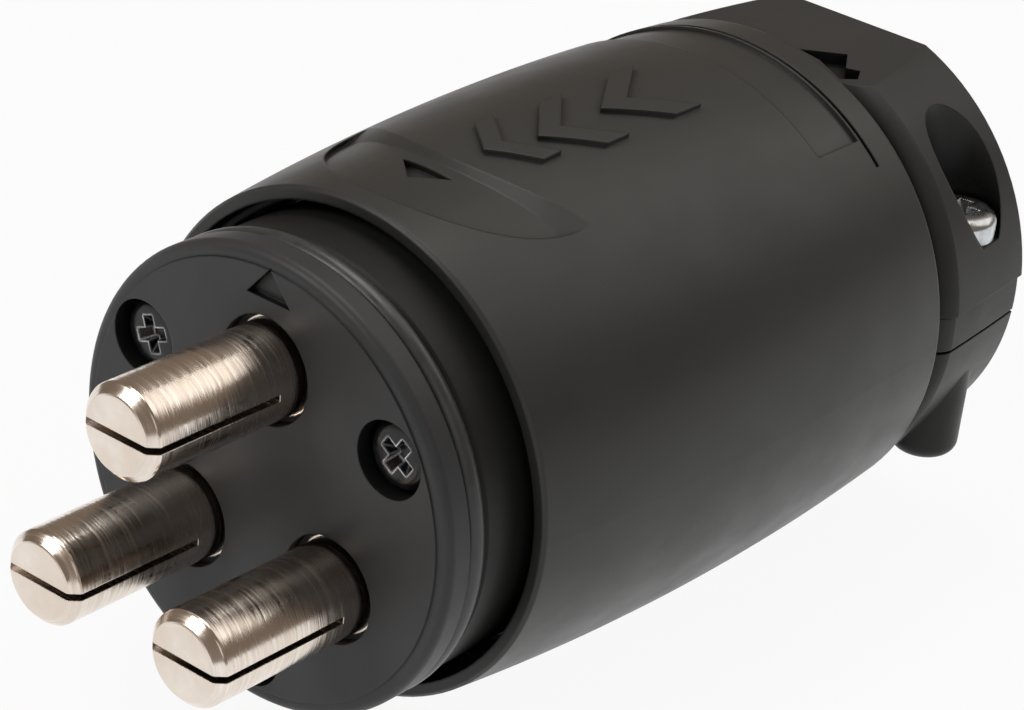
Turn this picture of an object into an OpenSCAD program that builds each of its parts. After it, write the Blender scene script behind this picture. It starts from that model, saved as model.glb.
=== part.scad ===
// Locking power plug with three round pins.
// Y is the plug axis and runs to the cable end, Z is up, X is to the right of
// somebody who looks at the face. The mating face lies at Y = 0.

/* [Contacts] */
// Diameter of each contact pin
pin_d = 8; // [6.5:0.25:9]
// Length of pin in front of the mating face
pin_exposed = 15.8; // [12:0.2:20]
// Distance of the pin axes from the neck's surface
pin_inset = 9.35; // [9:0.05:9.7]
// Angle of the two lower pins below the horizontal
pin_low_deg = 38; // [34:1:42]
// Width of the slit through each pin
pin_slit_w = 0.8; // [0.4:0.1:1.2]
// Bevel round each pin tip
pin_bevel = 0.8; // [0.4:0.1:1.2]

/* [Face] */
// Thickness of the face disc
face_wall = 2.6; // [2.4:0.1:3.4]
// Rounding of the face's edge
face_round = 0.8; // [0.4:0.1:1.4]
// Height of the raised pad that carries the pins
pad_step = 0.15; // [0.05:0.05:0.4]
// Diameter of the seal's section
seal_d = 2; // [1.6:0.1:2.3]

/* [Body] */
// How far the neck lies under the sleeve's widest place
neck_depth = 3.925; // [3.8:0.025:4.4]
// How far the rear body's curve lies under the sleeve's
body_depth = 0.475; // [0.3:0.025:0.8]
// Length of the rear body
saddle_len = 13.8; // [12.8:0.1:18]
// Depth of the flat on top under the rear body's curve
flat_depth = 3.1; // [2.2:0.1:4]
// Rounding of the rear body's front shoulder
shoulder_round = 2.6; // [1.5:0.1:3.2]
// Dark groove between sleeve and rear body
rear_groove = 1.15; // [0.8:0.05:2]

/* [Sleeve] */
// Greatest diameter of the sleeve
sleeve_max_d = 46.55; // [46:0.05:50]
// Length of the sleeve
sleeve_len = 52.25; // [50:0.25:60]
// Set-back of the sleeve's front lip from the face
sleeve_front_y = 9.2; // [8.8:0.1:10.6]
// Radius of the barrel curve along the sleeve
barrel_rho = 278; // [250:1:400]
// Open gap between neck and skirt
skirt_gap = 1.15; // [1:0.05:1.2]
// Angle through which the sleeve turns to lock
lock_deg = 45; // [20:1:60]
// Height of the raised chevrons
chevron_height = 0.45; // [0.2:0.05:0.6]

/* [Cable clamp] */
// Bore of the grommet
cable_d = 17; // [12:0.5:18]
// Distance of the clamp screws from the side of the rear body's curve
clamp_inset = 5.8; // [5.4:0.1:6]
// Radius of the screw pockets
pocket_r = 3.95; // [3.8:0.05:4.3]
// Height of the pocket floor above the axis
pocket_floor_z = 6.5; // [5:0.1:9]
// Thickness of the grommet's wings
wing_t = 3.3; // [2.4:0.1:4]
// Radius of the jaw's screw bosses
boss_r = 3.5; // [3.3:0.1:4]
// How far the bosses end above the bottom of the rear body's curve
boss_rise = 7.5; // [6:0.1:8.2]

/* [Hidden] */
$fn = 96;

// Clearances
seat_fit = 0.02;      // pieces that are pressed or screwed home
slip_fit = 0.05;      // pieces that slide or turn in each other
screw_fit = 0.1;      // clearance holes
split_gap = 0.25;     // dark seams of the cable clamp
eps = 0.5;            // how far a cutter runs past a face
reach = 5 * sleeve_max_d; // longer than the whole plug

// Diameters that follow the sleeve
sleeve_max_r = sleeve_max_d / 2;
neck_r = sleeve_max_r - neck_depth;
neck_d = 2 * neck_r;
body_max_r = sleeve_max_r - body_depth;
pin_pitch_r = neck_r - pin_inset;
flat_z = body_max_r - flat_depth;

// Contacts
pin_r = pin_d / 2;
stem_r = pin_r + 0.2;
collar_r = pin_r + 1.25;
barrel_r = pin_r + 0.5;
wire_r = barrel_r - 1.5;
collar_len = 3.5;
barrel_len = 20;
wire_depth = 8;
slit_end_y = -2.4;
pin_low_x = pin_pitch_r * cos(pin_low_deg);
pin_low_z = -pin_pitch_r * sin(pin_low_deg);
PIN_TOP = [0, pin_pitch_r];
PIN_LEFT = [-pin_low_x, pin_low_z];
PIN_RIGHT = [pin_low_x, pin_low_z];

// Face, seal and spigot
face_overhang = 0.45;
face_r = neck_r + face_overhang;
seal_mean_r = face_r - seal_d / 2;
seal_seat_r = seal_mean_r - seal_d / 2 - seat_fit;
seal_shelf = 0.3;
seal_y = face_wall + seal_shelf + seal_d / 2;
core_front_y = seal_y + seal_d / 2 + 0.05;
neck_wall = 2.1;
bore_r = neck_r - neck_wall;
spigot_r = bore_r - slip_fit;
spigot_len = 7.05;
spigot_end_y = core_front_y + spigot_len;
insulator_t = 6;
step_y = spigot_end_y + insulator_t;
cavity_step = 1.25;
cavity_r = bore_r - cavity_step;
pad_inset = 0.8;
pad_r = neck_r - pad_inset;
pin_well_gap = 0.6;
pin_well_r = pin_r + pin_well_gap;
pin_well_depth = 1.2;
mark_half = 2.3;
mark_len = 2.7;
mark_inset = 1.1;
mark_depth = 0.6;

// Face screws
face_screw_r = 1.5;
face_head_r = 3;
face_head_t = 1.3;
face_well_r = 3.25;
face_well_depth = face_wall - 0.4;
face_screw_inset = 4.1;
face_screw_pitch_r = neck_r - face_screw_inset;
face_screw_len = 23;
lug_r = 3;
lug_len = face_screw_len + face_well_depth + 1.2 - step_y;
SCREW_RIGHT = face_screw_pitch_r * [sin(60), cos(60)];
SCREW_LEFT = [-SCREW_RIGHT[0], SCREW_RIGHT[1]];
SCREW_BOTTOM = [0, -face_screw_pitch_r];

// Sleeve
sleeve_rear_y = sleeve_front_y + sleeve_len;
barrel_max_y = sleeve_front_y + 0.578 * sleeve_len;
skirt_r = neck_r + skirt_gap;
bearing_r = neck_r + slip_fit;
relief_r = neck_r + 1.25;
lip_chamfer = 0.25;
ring_t = 1;
ring_y = sleeve_front_y + 9.2;
front_bearing_y = ring_y + ring_t + 0.1;
front_bearing_len = 4.5;
rear_bearing_y = sleeve_rear_y - 5.5;

// Thumb valley and marks on the sleeve, with places behind its front lip
valley_front = 2.1;
valley_front_r = 11.9;
valley_crest = 10.4;
valley_crest_r = 7.8;
valley_len = 17;
valley_depth = 0.55;
valley_bank_run = 1.5; // sideways for each step down
arrow_front = 6.1;
arrow_len = 2.4;
arrow_half = 2.65;
chevron_half = 3.7;
chevron_apex = [12.8, 18, 25.9];
chevron_rise = [3.1, 4.5, 5.5];
chevron_width = [2.2, 2.8, 3.4];
chevron_turn_deg = [5, 8, 8];

// Rotation stop inside the sleeve
stop_y = front_bearing_y + front_bearing_len + 6;
stop_len = 8;
stop_half_deg = 5;
stop_lug_deg = 12;
stop_play_deg = 1;

// Rear body and clamp
body_front_y = sleeve_rear_y + rear_groove;
body_rear_y = body_front_y + saddle_len;
body_max_y = body_front_y - 16.6;
thrust_r = neck_r + 0.6;
bulkhead_y = sleeve_rear_y - 3;
clamp_front_y = body_front_y + split_gap;
clamp_y = body_front_y + 7.8;
grommet_r = cable_d / 2 + 2.5;
channel_r = grommet_r + slip_fit;
bulkhead_hole_r = grommet_r - 1.5;
wing_top = wing_t / 2 - 0.1;
wing_bottom = wing_top - wing_t;
clamp_x = body_max_r - clamp_inset;
boss_bottom = body_max_r - boss_rise;
split_top = wing_top + split_gap;
split_bottom = wing_bottom - split_gap;
jaw_inset = 0.4;
clamp_screw_r = 1.75;
clamp_head_r = 3.6;
clamp_head_t = 2.4;
boss_tip_round = 1.4;
insert_r = 2.4;
insert_len = 6;
insert_top_z = split_bottom - 0.4;
clamp_screw_tip_z = insert_top_z - insert_len - 1;

// ---- Shared forms --------------------------------------------------------

// Turns a profile of radius and Y round the plug axis
module around_y() {
  rotate([-90, 0, 0]) rotate_extrude($fn = 128) children();
}

// The same over part of a turn; angles run from the top towards +X
module around_y_part(from_deg, to_deg) {
  rotate([-90, 0, 0]) rotate([0, 0, from_deg - 90])
    rotate_extrude(angle = to_deg - from_deg, $fn = 128) children();
}

module cyl_y(r, y0, y1, at = [0, 0]) {
  translate([at[0], y0, at[1]]) rotate([-90, 0, 0]) cylinder(h = y1 - y0, r = r);
}

module cyl_z(r, z0, z1, at = [0, 0]) {
  translate([at[0], at[1], z0]) cylinder(h = z1 - z0, r = r);
}

// Half-profile of a barrel whose curve has its widest place at max_y
module barrel_profile(max_r, max_y, y0, y1) {
  intersection() {
    translate([max_r - barrel_rho, max_y]) circle(r = barrel_rho, $fn = 720);
    translate([0, y0]) square([max_r + eps, y1 - y0]);
  }
}

// Radius of such a barrel at a place y
function curve_r(max_r, max_y, y) =
  max_r - barrel_rho + sqrt(pow(barrel_rho, 2) - pow(y - max_y, 2));

// Rear body's outer form, shrunk by inset, with its rounded front shoulder
module body_form(inset, y0) {
  front_r = curve_r(body_max_r, body_max_y, y0 + shoulder_round) - inset + slip_fit;
  around_y() intersection() {
    barrel_profile(body_max_r - inset, body_max_y, y0, body_rear_y);
    union() {
      translate([0, y0 + shoulder_round]) square([front_r + 1, saddle_len]);
      translate([0, y0]) square([front_r - shoulder_round, saddle_len]);
      translate([front_r - shoulder_round, y0 + shoulder_round]) circle(r = shoulder_round);
    }
  }
}

module barrel(max_r, max_y, y0, y1) {
  around_y() barrel_profile(max_r, max_y, y0, y1);
}

// Keeps the part of its children between two heights
module slab(z0, z1) {
  intersection() {
    children();
    translate([-reach / 2, -reach / 2, z0]) cube([reach, reach, z1 - z0]);
  }
}

// Cross recess cut down from a head's top, which lies at the origin
module cross_recess(r, depth) {
  arm = 0.32 * r;
  for (turn = [0, 90]) rotate([0, 0, turn])
    translate([-0.62 * r, -arm / 2, -depth]) cube([1.24 * r, arm, depth + eps]);
}

// ---- Contacts ------------------------------------------------------------

module contact_pin(at) {
  spigot_hole_end = spigot_end_y - collar_len;
  barrel_end = spigot_end_y + barrel_len;
  screw_y = barrel_end - wire_depth / 2;
  color("silver") difference() {
    translate([at[0], 0, at[1]]) around_y() polygon([
      [0, -pin_exposed], [pin_r - pin_bevel, -pin_exposed],
      [pin_r, -pin_exposed + pin_bevel], [pin_r, pin_well_depth],
      [stem_r, pin_well_depth], [stem_r, spigot_hole_end + seat_fit],
      [collar_r, spigot_hole_end + seat_fit], [collar_r, spigot_end_y],
      [barrel_r, spigot_end_y], [barrel_r, barrel_end], [0, barrel_end]]);
    translate([at[0] - pin_d, -pin_exposed - eps, at[1] - pin_slit_w / 2])
      cube([2 * pin_d, pin_exposed + eps + slit_end_y, pin_slit_w]);
    cyl_y(wire_r, barrel_end - wire_depth, barrel_end + eps, at);
    terminal_place(at, screw_y) cyl_z(2 + seat_fit, 0, barrel_r + eps);
  }
}

// Puts a child whose Z axis points away from the plug axis on a pin's barrel
module terminal_place(at, y) {
  translate([at[0], y, at[1]]) rotate([0, atan2(at[0], at[1]), 0]) children();
}

module terminal_screw(at) {
  top = barrel_r + 0.2;
  bottom = wire_r - 0.6;
  screw_y = spigot_end_y + barrel_len - wire_depth / 2;
  color("gold") terminal_place(at, screw_y) difference() {
    cyl_z(2, bottom, top);
    translate([-3, -0.3, top - 0.9]) cube([6, 0.6, 1.5]);
  }
}

module contact_pin_top() { contact_pin(PIN_TOP); }
module contact_pin_left() { contact_pin(PIN_LEFT); }
module contact_pin_right() { contact_pin(PIN_RIGHT); }
module terminal_screw_top() { terminal_screw(PIN_TOP); }
module terminal_screw_left() { terminal_screw(PIN_LEFT); }
module terminal_screw_right() { terminal_screw(PIN_RIGHT); }

// ---- Face ----------------------------------------------------------------

module contact_carrier() {
  color("#4a4a4c") difference() {
    around_y() {
      square([pad_r, face_wall]);
      translate([0, pad_step + face_round])
        square([face_r, face_wall - pad_step - face_round]);
      translate([0, pad_step]) square([face_r - face_round, face_wall - pad_step]);
      translate([face_r - face_round, pad_step + face_round]) circle(r = face_round);
      translate([0, face_wall - eps]) square([seal_seat_r, core_front_y - face_wall + eps]);
      square([spigot_r, spigot_end_y]);
    }
    for (at = [PIN_TOP, PIN_LEFT, PIN_RIGHT]) {
      cyl_y(stem_r + seat_fit, -eps, spigot_end_y + eps, at);
      cyl_y(pin_well_r, -eps, pin_well_depth, at);
      cyl_y(collar_r + seat_fit, spigot_end_y - collar_len, spigot_end_y + eps, at);
    }
    for (at = [SCREW_RIGHT, SCREW_LEFT, SCREW_BOTTOM]) {
      cyl_y(face_screw_r + screw_fit, -eps, spigot_end_y + eps, at);
      cyl_y(face_well_r, -eps, face_well_depth, at);
    }
    face_mark();
  }
}

// Sunk triangle beside the face's rim that points outwards
module face_mark() {
  tip_z = face_r - mark_inset;
  translate([0, mark_depth, 0]) rotate([90, 0, 0]) linear_extrude(height = mark_depth + eps)
    polygon([[-mark_half, tip_z - mark_len], [mark_half, tip_z - mark_len], [0, tip_z]]);
}

module rear_insulator() {
  color("#c8bfa8") difference() {
    cyl_y(spigot_r, spigot_end_y, step_y);
    for (at = [PIN_TOP, PIN_LEFT, PIN_RIGHT])
      cyl_y(barrel_r + seat_fit, spigot_end_y - eps, step_y + eps, at);
    for (at = [SCREW_RIGHT, SCREW_LEFT, SCREW_BOTTOM])
      cyl_y(face_screw_r + screw_fit, spigot_end_y - eps, step_y + eps, at);
  }
}

module face_seal() {
  color("#2a2a2a") around_y()
    translate([seal_mean_r, seal_y]) circle(r = seal_d / 2);
}

module face_screw(at) {
  head_y = face_well_depth - face_head_t;
  color("#1c1c1c") translate([at[0], 0, at[1]]) difference() {
    around_y() polygon([
      [0, head_y], [face_head_r - 0.5, head_y], [face_head_r, head_y + 0.5],
      [face_head_r, face_well_depth], [face_screw_r, face_well_depth],
      [face_screw_r, face_well_depth + face_screw_len],
      [0, face_well_depth + face_screw_len]]);
    translate([0, head_y, 0]) rotate([90, 0, 0]) cross_recess(face_head_r, 1);
  }
}

module face_screw_left() { face_screw(SCREW_LEFT); }
module face_screw_right() { face_screw(SCREW_RIGHT); }
module face_screw_bottom() { face_screw(SCREW_BOTTOM); }

// ---- Body that the sleeve turns on ----------------------------------------

module saddle_solid() {
  slab(split_top, sleeve_max_d) {
    body_form(0, body_front_y);
    cyl_y(neck_r - 1, bulkhead_y + 1, body_rear_y - 2);
  }
}

module inner_lugs() {
  for (at = [SCREW_RIGHT, SCREW_LEFT, SCREW_BOTTOM])
    cyl_y(lug_r, step_y - eps, step_y + lug_len, at);
}

module core_body() {
  lug_thread_end = face_well_depth + face_screw_len + 0.6;
  color("#3c3c3a") difference() {
    union() {
      around_y() polygon([
        [0, core_front_y], [neck_r - 0.3, core_front_y], [neck_r, core_front_y + 0.3],
        [neck_r, sleeve_rear_y + 0.1], [thrust_r, sleeve_rear_y + 0.1],
        [thrust_r, body_front_y], [0, body_front_y]]);
      saddle_solid();
      around_y_part(180 - stop_half_deg, 180 + stop_half_deg)
        translate([neck_r - eps, stop_y]) square([1 + eps, stop_len]);
    }
    cyl_y(bore_r, core_front_y - eps, step_y);
    difference() {
      cyl_y(cavity_r, step_y - eps, bulkhead_y);
      inner_lugs();
    }
    for (at = [SCREW_RIGHT, SCREW_LEFT, SCREW_BOTTOM])
      cyl_y(face_screw_r + seat_fit, step_y - eps, lug_thread_end, at);
    cyl_y(bulkhead_hole_r, bulkhead_y - eps, body_front_y + eps);
    cyl_y(channel_r, body_front_y, body_rear_y + eps);
    around_y() translate([neck_r - 0.55, ring_y - seat_fit])
      square([2, ring_t + 2 * seat_fit]);
    translate([-sleeve_max_r, body_front_y - eps, flat_z])
      cube([sleeve_max_d, saddle_len + 2 * eps, sleeve_max_r]);
    flat_arrow();
    for (side = [-1, 1]) {
      cyl_z(pocket_r, pocket_floor_z, sleeve_max_d, [side * clamp_x, clamp_y]);
      cyl_z(clamp_screw_r + screw_fit, -eps, sleeve_max_d, [side * clamp_x, clamp_y]);
    }
  }
}

// Recessed bent arrow on the flat that shows which way the sleeve locks
module flat_arrow() {
  depth = 1.2;
  translate([0.9, body_front_y + 3.8, flat_z - depth]) linear_extrude(height = 2 * depth)
    polygon([[0, 0], [2.7, -0.6], [6.4, -2.7], [7.5, -1.5], [6.5, 0.3], [5.3, -0.2], [3.5, 2.5]]);
}

module retaining_ring() {
  color("#8c8c88") around_y_part(15, 345)
    translate([neck_r - 0.53, ring_y]) square([1.05, ring_t]);
}

// ---- Locking sleeve --------------------------------------------------------

// Everything that lies deeper than depth under the sleeve's curved surface
module under_surface(depth) {
  barrel(sleeve_max_r - depth, barrel_max_y, sleeve_front_y - 5, sleeve_rear_y + 5);
}

module sleeve_blank() {
  around_y() difference() {
    intersection() {
      barrel_profile(sleeve_max_r, barrel_max_y, sleeve_front_y, sleeve_rear_y);
      polygon([
        [0, sleeve_front_y], [lip_outer_r() - lip_chamfer, sleeve_front_y],
        [lip_outer_r() + 0.02, sleeve_front_y + lip_chamfer], [sleeve_max_r + 1, sleeve_front_y + 4],
        [sleeve_max_r + 1, sleeve_rear_y], [0, sleeve_rear_y]]);
    }
    polygon([
      [0, sleeve_front_y - 1], [skirt_r, sleeve_front_y - 1], [skirt_r, front_bearing_y],
      [bearing_r, front_bearing_y], [bearing_r, front_bearing_y + front_bearing_len],
      [relief_r, front_bearing_y + front_bearing_len], [relief_r, rear_bearing_y],
      [bearing_r, rear_bearing_y], [bearing_r, sleeve_rear_y + 1], [0, sleeve_rear_y + 1]]);
  }
}

function barrel_r_at(y) = curve_r(sleeve_max_r, barrel_max_y, y);
function lip_outer_r() = barrel_r_at(sleeve_front_y);

// Crescent-shaped valley for the thumb: its floor sinks towards the rear, where
// a cone leaves a sloping bank
module thumb_scoop() {
  front_y = sleeve_front_y + valley_front;
  crest_y = sleeve_front_y + valley_crest;
  end_y = sleeve_front_y + valley_len;
  foot_z = sleeve_max_r / 2;
  cone_h = barrel_r_at(crest_y) + valley_crest_r / valley_bank_run - foot_z;
  skin = 0.1;
  difference() {
    cyl_z(valley_front_r, foot_z, sleeve_max_d, [0, front_y + valley_front_r]);
    translate([0, crest_y + valley_crest_r, foot_z])
      cylinder(h = cone_h, r1 = valley_bank_run * cone_h, r2 = 0);
    translate([-sleeve_max_r, end_y, 0]) cube([sleeve_max_d, sleeve_max_d, sleeve_max_d]);
    around_y() polygon([
      [0, sleeve_front_y - eps], [barrel_r_at(sleeve_front_y) - skin, sleeve_front_y - eps],
      [barrel_r_at(sleeve_front_y + 2) - skin, sleeve_front_y + 2],
      [barrel_r_at(end_y) - valley_depth, end_y], [0, sleeve_rear_y]]);
  }
}

// Stands a flat outline up through the top of the sleeve, with Y as its place
module through_top(y) {
  translate([0, y, sleeve_max_r / 2]) linear_extrude(height = sleeve_max_r) children();
}

// Small arrow in the valley that points to the face
module sleeve_arrow() {
  difference() {
    through_top(sleeve_front_y + arrow_front)
      polygon([[0, 0], [arrow_half, arrow_len], [-arrow_half, arrow_len]]);
    under_surface(1);
  }
}

// One chevron whose apex points to the face
module chevron(apex, rise, width, turn) {
  rotate([0, turn, 0]) through_top(sleeve_front_y + apex)
    polygon([[0, 0], [chevron_half, rise], [chevron_half, rise + width],
      [0, width], [-chevron_half, rise + width], [-chevron_half, rise]]);
}

// Three chevrons raised from the sleeve's curve, each longer than the one before
module chevrons() {
  difference() {
    intersection() {
      for (i = [0 : len(chevron_apex) - 1])
        chevron(chevron_apex[i], chevron_rise[i], chevron_width[i], chevron_turn_deg[i]);
      under_surface(-chevron_height);
    }
    under_surface(1);
  }
}

// Bare sunk band near the rear edge, and the fine line behind it
module rear_band() {
  difference() {
    around_y_part(-38, 38) translate([relief_r, sleeve_rear_y - 9.9]) square([8, 6]);
    under_surface(0.3);
  }
  difference() {
    around_y_part(-45, 45) translate([relief_r, sleeve_rear_y - 3.6]) square([8, 0.4]);
    under_surface(0.4);
  }
}

// Ramp inside the skirt that draws the plug into its socket
module lock_ramp(mid_deg) {
  half_deg = 28;
  tilt_deg = 15;
  width = 1.6;
  crest_r = skirt_r - 0.6;
  mid_y = sleeve_front_y + 4.4;
  intersection() {
    around_y_part(mid_deg - half_deg, mid_deg + half_deg)
      translate([crest_r, mid_y - 5]) square([skirt_r + 0.3 - crest_r, 10]);
    rotate([0, mid_deg, 0]) translate([0, mid_y, neck_r]) rotate([0, 0, tilt_deg])
      cube([neck_d, width, neck_d], center = true);
  }
}

// Lugs that meet the body's stop at both ends of the sleeve's turn
module stop_lugs() {
  near = 180 - stop_half_deg - stop_play_deg;
  far = 180 + stop_half_deg + stop_play_deg + lock_deg;
  for (from = [near - stop_lug_deg, far])
    around_y_part(from, from + stop_lug_deg)
      translate([neck_r + 0.3, stop_y]) square([1.2, stop_len]);
}

module locking_sleeve() {
  color("#454542") {
    difference() {
      sleeve_blank();
      thumb_scoop();
      sleeve_arrow();
      rear_band();
    }
    chevrons();
    stop_lugs();
    for (turn = [0:2]) lock_ramp(90 + 120 * turn);
  }
}

// ---- Cable clamp -----------------------------------------------------------

module cable_grommet() {
  color("#333331") difference() {
    union() {
      cyl_y(grommet_r, clamp_front_y, body_rear_y);
      slab(wing_bottom, wing_top)
        body_form(jaw_inset, clamp_front_y);
    }
    cyl_y(cable_d / 2, clamp_front_y - eps, body_rear_y + eps);
    for (side = [-1, 1])
      cyl_z(clamp_screw_r + screw_fit, -wing_t, wing_t, [side * clamp_x, clamp_y]);
  }
}

// Half-profile of a blind boss, drafted and rounded at its lower end
module screw_boss_profile() {
  top = split_bottom + boss_bottom;
  tip_r = boss_r - 0.35;
  polygon([[0, boss_tip_round], [tip_r, boss_tip_round], [boss_r, top], [0, top]]);
  square([tip_r - boss_tip_round, 2 * boss_tip_round]);
  intersection() {
    translate([tip_r - boss_tip_round, boss_tip_round]) circle(r = boss_tip_round);
    square([tip_r, 2 * boss_tip_round]);
  }
}

module clamp_jaw() {
  color("#3a3a38") difference() {
    union() {
      slab(-sleeve_max_d, split_bottom)
        body_form(jaw_inset, clamp_front_y);
      for (side = [-1, 1]) translate([side * clamp_x, clamp_y, -boss_bottom])
        rotate_extrude() screw_boss_profile();
    }
    cyl_y(channel_r, clamp_front_y - eps, body_rear_y + eps);
    for (side = [-1, 1]) {
      cyl_z(clamp_screw_r + screw_fit, clamp_screw_tip_z - 1, 0, [side * clamp_x, clamp_y]);
      cyl_z(insert_r + seat_fit, insert_top_z - insert_len, 0, [side * clamp_x, clamp_y]);
    }
  }
}

module clamp_screw(side) {
  head_top = pocket_floor_z + clamp_head_t;
  color("#c9cdd0") translate([side * clamp_x, clamp_y, 0]) difference() {
    rotate_extrude() polygon([
      [0, clamp_screw_tip_z], [clamp_screw_r, clamp_screw_tip_z],
      [clamp_screw_r, pocket_floor_z], [clamp_head_r, pocket_floor_z],
      [clamp_head_r, head_top - 0.9], [clamp_head_r - 0.35, head_top - 0.35],
      [clamp_head_r - 1, head_top], [0, head_top]]);
    translate([0, 0, head_top]) rotate([0, 0, 28]) cross_recess(clamp_head_r, 1.4);
  }
}

// Threaded brass insert that is pressed into the jaw from above
module clamp_insert(side) {
  color("gold") translate([side * clamp_x, clamp_y, insert_top_z - insert_len]) difference() {
    cyl_z(insert_r, 0, insert_len);
    cyl_z(clamp_screw_r + seat_fit, -eps, insert_len + eps);
  }
}

module clamp_screw_left() { clamp_screw(-1); }
module clamp_screw_right() { clamp_screw(1); }
module clamp_insert_left() { clamp_insert(-1); }
module clamp_insert_right() { clamp_insert(1); }

// ---- Drawing ----------------------------------------------------------------

locking_sleeve();
core_body();
contact_carrier();
contact_pin_top();
contact_pin_left();
contact_pin_right();
terminal_screw_top();
terminal_screw_left();
terminal_screw_right();
rear_insulator();
face_seal();
face_screw_left();
face_screw_right();
face_screw_bottom();
retaining_ring();
cable_grommet();
clamp_jaw();
clamp_screw_left();
clamp_screw_right();
clamp_insert_left();
clamp_insert_right();
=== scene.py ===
"""Dresses the locking power plug: finishes for every moulded, turned and plated part, finer
split pins and cross-head screws in the places of the plain ones, a pale studio and the camera."""

from __future__ import annotations

import logging
import math
from collections.abc import Iterable
from dataclasses import dataclass, replace
from enum import Enum

import bpy
from mathutils import Matrix, Vector

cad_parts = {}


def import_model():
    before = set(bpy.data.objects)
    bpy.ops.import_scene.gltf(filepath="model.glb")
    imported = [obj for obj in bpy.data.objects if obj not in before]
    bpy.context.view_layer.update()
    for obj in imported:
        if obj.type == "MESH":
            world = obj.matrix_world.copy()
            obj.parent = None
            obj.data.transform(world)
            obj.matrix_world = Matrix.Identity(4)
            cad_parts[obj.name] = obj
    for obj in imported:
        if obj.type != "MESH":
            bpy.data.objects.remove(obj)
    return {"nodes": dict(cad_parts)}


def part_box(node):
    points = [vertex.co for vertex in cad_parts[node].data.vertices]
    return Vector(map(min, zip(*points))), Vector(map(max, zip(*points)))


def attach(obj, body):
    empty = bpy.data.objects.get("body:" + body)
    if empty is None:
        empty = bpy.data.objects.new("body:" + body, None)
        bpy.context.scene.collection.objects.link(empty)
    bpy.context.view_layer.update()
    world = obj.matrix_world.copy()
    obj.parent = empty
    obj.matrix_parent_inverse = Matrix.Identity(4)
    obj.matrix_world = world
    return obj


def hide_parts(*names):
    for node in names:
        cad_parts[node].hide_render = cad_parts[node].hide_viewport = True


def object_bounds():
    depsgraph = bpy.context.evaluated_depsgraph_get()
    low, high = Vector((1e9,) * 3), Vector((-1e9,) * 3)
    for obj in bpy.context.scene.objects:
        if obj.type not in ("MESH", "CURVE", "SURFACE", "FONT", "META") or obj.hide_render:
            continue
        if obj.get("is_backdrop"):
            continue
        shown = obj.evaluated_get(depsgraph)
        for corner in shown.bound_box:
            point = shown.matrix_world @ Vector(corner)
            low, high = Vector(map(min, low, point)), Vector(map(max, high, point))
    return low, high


LOG = logging.getLogger("plug")
MM = 0.001
PLUG_BODY = "plug_body"

Colour = tuple[float, float, float]
Point = tuple[float, float, float]
Range = tuple[float, float]
Socket = bpy.types.NodeSocket

WHITE: Colour = (1.0, 1.0, 1.0)
WHOLE: Range = (0.0, 1.0)
REVERSED: Range = (1.0, 0.0)
CAP_TOLERANCE = 1e-6
CAP_NORMAL = 0.99
SMOOTH_DEG = 32.0
# Lays a piece that hangs down along the plug's axis, with its head to the front.
HEAD_FORWARD = Matrix.Rotation(math.radians(90.0), 4, "X")


class Place(Enum):
    """The places round the plug's axis, seen by somebody who looks at its face."""

    TOP = "top"
    LEFT = "left"
    RIGHT = "right"
    BOTTOM = "bottom"


SIDES = (Place.LEFT, Place.RIGHT)


# ---------------------------------------------------------------------------
# Finishes
# ---------------------------------------------------------------------------


@dataclass(frozen=True)
class Pattern:
    """A noise pattern: units to the metre along each axis, finer layers and their strength."""

    scale: Point
    detail: float = 3.0
    rough: float = 0.5

    @classmethod
    def even(cls, scale: float, detail: float = 3.0, rough: float = 0.5) -> Pattern:
        """Makes a pattern that is equally fine along every axis.

        Args:
            scale: pattern units to the metre.
            detail: how many finer layers the noise has.
            rough: how strong the finer layers are.

        Returns:
            The pattern.
        """
        return cls((scale, scale, scale), detail, rough)


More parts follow.
